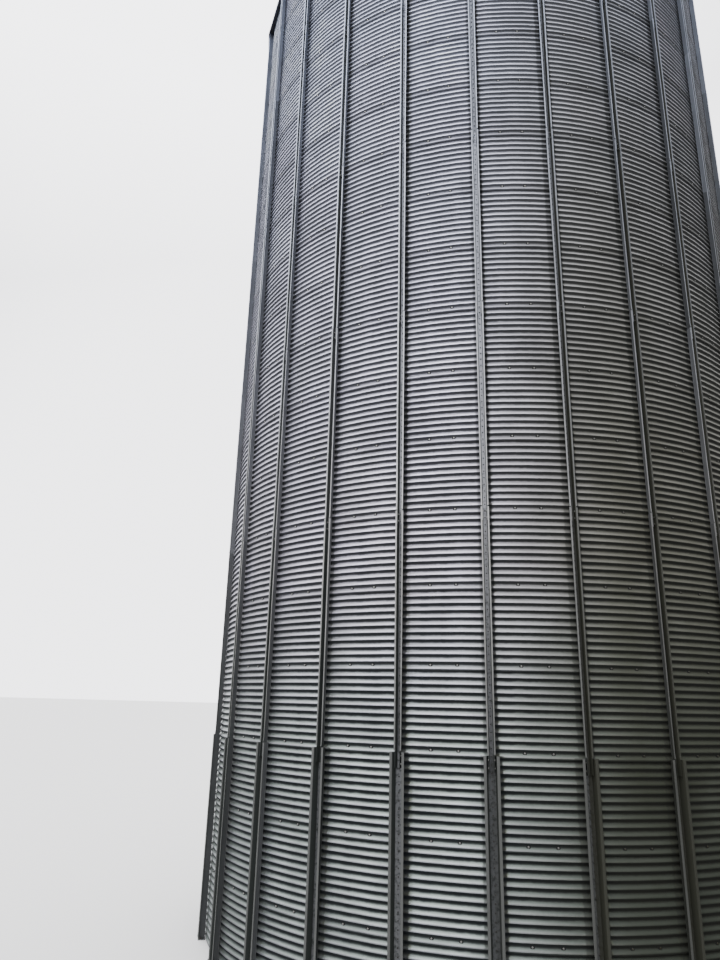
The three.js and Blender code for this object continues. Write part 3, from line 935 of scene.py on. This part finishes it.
def floated_concrete():
    """Concrete floor, floated smooth: warm pale grey with soft clouds and fine grit."""
    material, tree, shader = new_material("floated_concrete")
    place = add(tree, "ShaderNodeTexCoord", output="Object")
    clouds = add(tree, "ShaderNodeTexNoise", {"Vector": place, "Scale": per_metre(900), "Detail": 5})
    grit = add(tree, "ShaderNodeTexNoise", {"Vector": place, "Scale": per_metre(12), "Detail": 2})
    cloud = add(tree, "ShaderNodeMapRange", between(clouds, 0, 1, 0.35, 0.65))
    skin = add(tree, "ShaderNodeMixRGB", [cloud, colour("8b8881"), colour("a3a099")])
    bump = add(tree, "ShaderNodeBump", {"Strength": 0.2, "Distance": 1 * MM, "Height": grit})
    set_inputs(tree, shader, {"Base Color": skin, "Roughness": 0.85, "Normal": bump})
    return material


# Studio

CAMERA_PLACE = Vector((-0.053, -11.771, 2.965))
CAMERA_HEADING = math.radians(-9.79)
CAMERA_PITCH = math.radians(17.0)
CAMERA_ROLL = math.radians(1.45)
CAMERA_SIGHT = 1000
LENS_MM = 27.1
SENSOR_MM = 36


def build_camera():
    """The photo's view: from about 3 m above the foot of the silo, up along the wall."""
    heading, pitch, roll = CAMERA_HEADING, CAMERA_PITCH, CAMERA_ROLL
    level = Vector((math.cos(heading), -math.sin(heading), 0))
    forward = Vector((math.sin(heading) * math.cos(pitch), math.cos(heading) * math.cos(pitch),
                      math.sin(pitch)))
    above = level.cross(forward)
    right = level * math.cos(roll) + above * math.sin(roll)
    up = above * math.cos(roll) - level * math.sin(roll)
    camera = bpy.data.objects.new("camera", bpy.data.cameras.new("camera"))
    camera.data.lens = LENS_MM
    camera.data.sensor_width = SENSOR_MM
    camera.data.clip_end = CAMERA_SIGHT
    turn = Matrix((right, up, -forward)).transposed().to_4x4()
    camera.matrix_world = Matrix.Translation(CAMERA_PLACE) @ turn
    bpy.context.scene.collection.objects.link(camera)
    bpy.context.scene.camera = camera


FLOOR_REACH = 400  # metres each way

# Brightness of the overcast light, by where it comes from
ZENITH, HORIZON, BACKDROP, BELOW = 3.75, 0.42, 3.9, 0.2
SHADED_SIDE, BRIGHT_SIDE, FAR_SIDE = 0.25, 1.28, 0.72

# Where it changes, in parts of the direction that it comes from: upwards, to the right and to the back
FULL_ABOVE, BELOW_UNDER = 0.7, -0.08
SHADE_STARTS, SHADE_FULL = 0.1, 0.95
BRIGHT_FULL, BRIGHT_ENDS = -0.3, 0.4
FAR_FULL, FAR_ENDS = -1, -0.5
BACKDROP_STARTS, BACKDROP_FULL = 0.3, 0.8


def build_studio():
    """A plain pale floor under a soft overcast light, which is weaker at the right."""
    corners = [(x * FLOOR_REACH, y * FLOOR_REACH, 0) for x, y in ((-1, -1), (1, -1), (1, 1), (-1, 1))]
    mesh = bpy.data.meshes.new("studio_floor")
    mesh.from_pydata(corners, [], [(0, 1, 2, 3)])
    floor = bpy.data.objects.new("studio_floor", mesh)
    bpy.context.scene.collection.objects.link(floor)
    material, tree, shader = new_material("pale_floor")
    set_inputs(tree, shader, {"Base Color": colour("dededc"), "Roughness": 0.9})
    mesh.materials.append(material)
    # Light from below is part of the overcast light, so the floor itself doesn't light the silo
    floor.visible_glossy = False
    floor.visible_diffuse = False

    world = bpy.data.worlds.new("overcast_light")
    bpy.context.scene.world = world
    world.use_nodes = True
    tree = world.node_tree
    direction = add(tree, "ShaderNodeTexCoord", output="Generated")
    right, back, height = add(tree, "ShaderNodeSeparateXYZ", [direction]).node.outputs
    glow = add(tree, "ShaderNodeMapRange", between(height, HORIZON, ZENITH, 0, FULL_ABOVE))
    shade = add(tree, "ShaderNodeMapRange", between(right, 1, SHADED_SIDE, SHADE_STARTS, SHADE_FULL),
                interpolation_type="SMOOTHSTEP")
    gain = add(tree, "ShaderNodeMapRange", between(right, BRIGHT_SIDE, 1, BRIGHT_FULL, BRIGHT_ENDS),
               interpolation_type="SMOOTHSTEP")
    far = add(tree, "ShaderNodeMapRange", between(right, FAR_SIDE, 1, FAR_FULL, FAR_ENDS))
    for share in (shade, gain, far):
        glow = add(tree, "ShaderNodeMath", [glow, share], operation="MULTIPLY")
    behind = add(tree, "ShaderNodeMapRange", between(back, 0, BACKDROP, BACKDROP_STARTS, BACKDROP_FULL),
                 interpolation_type="SMOOTHSTEP")
    glow = add(tree, "ShaderNodeMath", [glow, behind], operation="MAXIMUM")
    above = add(tree, "ShaderNodeMapRange", between(height, 0, 1, BELOW_UNDER, 0.0),
                interpolation_type="SMOOTHSTEP")
    glow = add(tree, "ShaderNodeMath", [glow, above], operation="MULTIPLY")
    glow = add(tree, "ShaderNodeMath", [glow, BELOW], operation="MAXIMUM")
    set_inputs(tree, tree.nodes["Background"], {"Strength": glow, "Color": colour("fbfbff")})


build_camera()
build_studio()
sheet_steel = weathered_galvanised_sheet()
channel_steel = dull_galvanised_channel()
roof_steel = galvanised_roof_sheet()
bolt_steel = zinc_plated_bolt()
build_wall(sheet_steel, bolt_steel, black_rubber_washer())
build_stiffeners(channel_steel, tarnished_bolt(), bolt_steel)
build_roof(roof_steel, bolt_steel)
build_collar_and_lid(roof_steel)
build_floor(floated_concrete())
